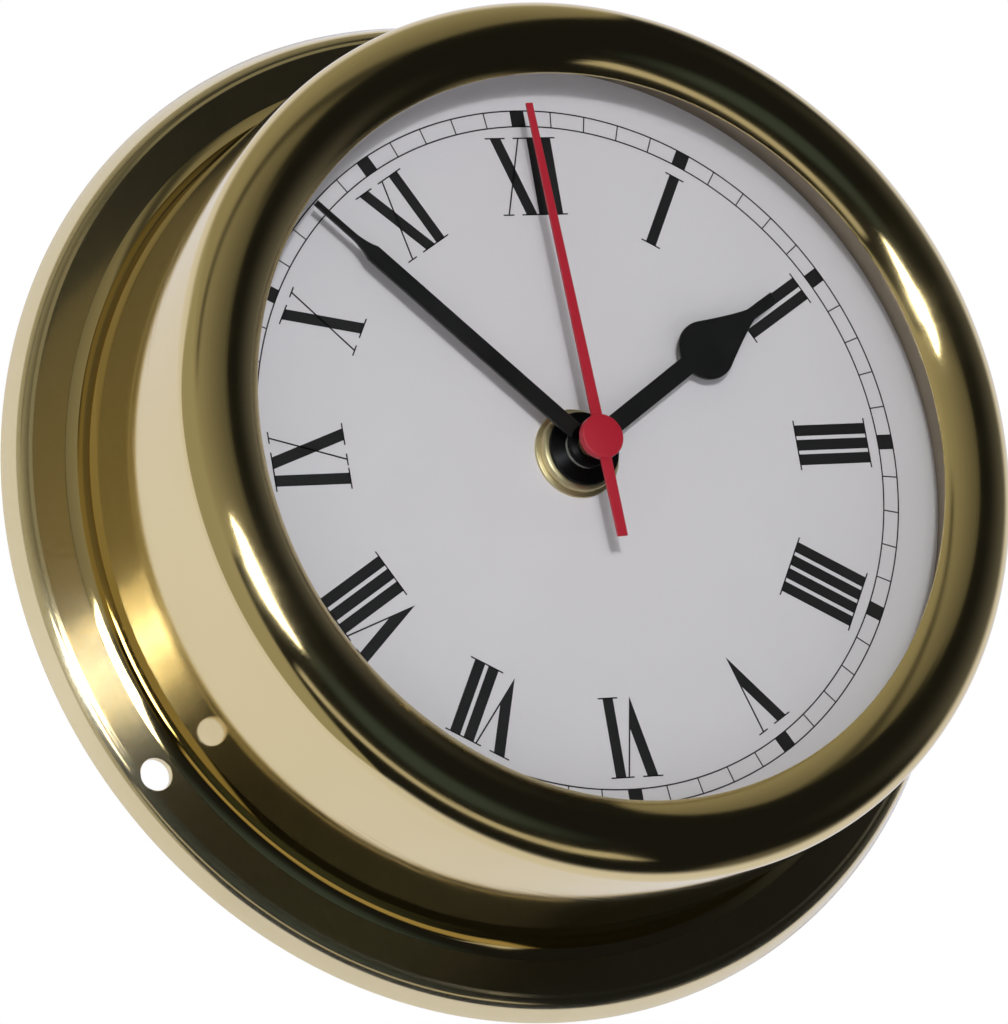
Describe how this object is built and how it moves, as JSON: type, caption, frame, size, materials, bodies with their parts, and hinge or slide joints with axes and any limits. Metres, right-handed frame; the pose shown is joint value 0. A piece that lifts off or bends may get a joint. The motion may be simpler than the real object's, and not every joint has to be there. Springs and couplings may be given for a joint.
{
  "type": "ships clock",
  "caption": "Round brass wall clock with a screw flange, drum case, half-round bezel, flat glass, Roman dial, three hands and a geared quartz movement with its cell.",
  "frame": {"origin": "centre of the flange's back plane, where the clock meets the wall", "axes": "+Z to twelve o'clock, +X to three o'clock, -Y out of the dial towards the viewer, +Y into the wall"},
  "size_m": [0.127, 0.0367, 0.127],
  "materials": {
    "polished_brass": "polished and lacquered",
    "satin_brass": "turned, satin",
    "clear_glass": "clear, polished",
    "black_rubber": "matte",
    "dial_paint": "matte pale paint with black print",
    "plain_steel": "plain",
    "copper_wire": "enamelled copper wire",
    "magnet": "sintered",
    "black_plastic": "moulded",
    "white_plastic": "moulded",
    "board_laminate": "solder mask",
    "cell_sleeve": "plain printed sleeve",
    "black_paint": "matte black",
    "red_paint": "matte red"
  },
  "bodies": {
    "case": {"mounting_flange": "polished_brass", "case_shell": "polished_brass", "glass": "clear_glass", "glass_gasket": "black_rubber", "spacer_ring": "satin_brass", "dial": "dial_paint", "dial_retaining_ring": "plain_steel", "threaded_bush": "satin_brass", "rubber_washer": "black_rubber", "brass_washer": "satin_brass", "bush_nut": "satin_brass", "movement_front_case": "black_plastic", "movement_back_cover": "black_plastic", "circuit_board": "board_laminate", "chip": "black_plastic", "crystal": "plain_steel", "stator": "plain_steel", "coil_core": "plain_steel", "coil_bobbin": "white_plastic", "coil_winding": "copper_wire", "positive_contact": "plain_steel", "negative_contact": "plain_steel"},
    "second_train": {"second_wheel": "white_plastic", "second_arbor": "plain_steel", "second_hand": "red_paint"},
    "rotor": {"rotor_magnet": "magnet", "rotor_pinion": "plain_steel"},
    "fifth": {"fifth_wheel": "white_plastic"},
    "third": {"third_wheel": "white_plastic"},
    "centre": {"centre_wheel": "white_plastic"},
    "minute_train": {"cannon_pinion": "satin_brass", "minute_hand": "black_paint"},
    "minute_idler": {"minute_wheel": "white_plastic"},
    "hour_train": {"hour_wheel": "white_plastic", "hour_hand": "black_paint"},
    "setting": {"setting_arbor": "plain_steel", "setting_knob": "black_plastic"},
    "cell": {"battery": "cell_sleeve"}
  },
  "joints": [
    {"name": "second_hand_turn", "type": "hinge", "parent": "case", "child": "second_train", "pos_m": [0, -0.0257, 0], "axis": [0, 1, 0], "continuous": true},
    {"name": "rotor_turn", "type": "hinge", "parent": "case", "child": "rotor", "pos_m": [0.00956, -0.015, 0.01331], "axis": [0, 1, 0], "continuous": true},
    {"name": "fifth_wheel_turn", "type": "hinge", "parent": "case", "child": "fifth", "pos_m": [0.00271, -0.014, 0.01011], "axis": [0, 1, 0], "continuous": true},
    {"name": "third_wheel_turn", "type": "hinge", "parent": "case", "child": "third", "pos_m": [-0.00866, -0.0165, 0.005], "axis": [0, 1, 0], "continuous": true},
    {"name": "centre_wheel_turn", "type": "hinge", "parent": "case", "child": "centre", "pos_m": [0, -0.018, 0], "axis": [0, 1, 0], "continuous": true},
    {"name": "minute_hand_turn", "type": "hinge", "parent": "case", "child": "minute_train", "pos_m": [0, -0.0257, 0], "axis": [0, 1, 0], "continuous": true},
    {"name": "minute_wheel_turn", "type": "hinge", "parent": "case", "child": "minute_idler", "pos_m": [0.00902, -0.02, 0.00328], "axis": [0, 1, 0], "continuous": true},
    {"name": "hour_hand_turn", "type": "hinge", "parent": "case", "child": "hour_train", "pos_m": [0, -0.0257, 0], "axis": [0, 1, 0], "continuous": true},
    {"name": "setting_knob_turn", "type": "hinge", "parent": "case", "child": "setting", "pos_m": [0.01848, -0.012, 0.00162], "axis": [0, 1, 0], "continuous": true},
    {"name": "battery_lift_out", "type": "slide", "parent": "case", "child": "cell", "axis": [0, 1, 0], "range_m": [0, 0.025]}
  ],
  "couplings": [
    {"joint": "rotor_turn", "follows": "second_hand_turn", "ratio": 30},
    {"joint": "fifth_wheel_turn", "follows": "second_hand_turn", "ratio": -6},
    {"joint": "third_wheel_turn", "follows": "second_hand_turn", "ratio": -0.13333},
    {"joint": "centre_wheel_turn", "follows": "second_hand_turn", "ratio": 0.016667},
    {"joint": "minute_wheel_turn", "follows": "minute_hand_turn", "ratio": -0.33333},
    {"joint": "hour_hand_turn", "follows": "minute_hand_turn", "ratio": 0.083333},
    {"joint": "setting_knob_turn", "follows": "minute_hand_turn", "ratio": 1}
  ]
}
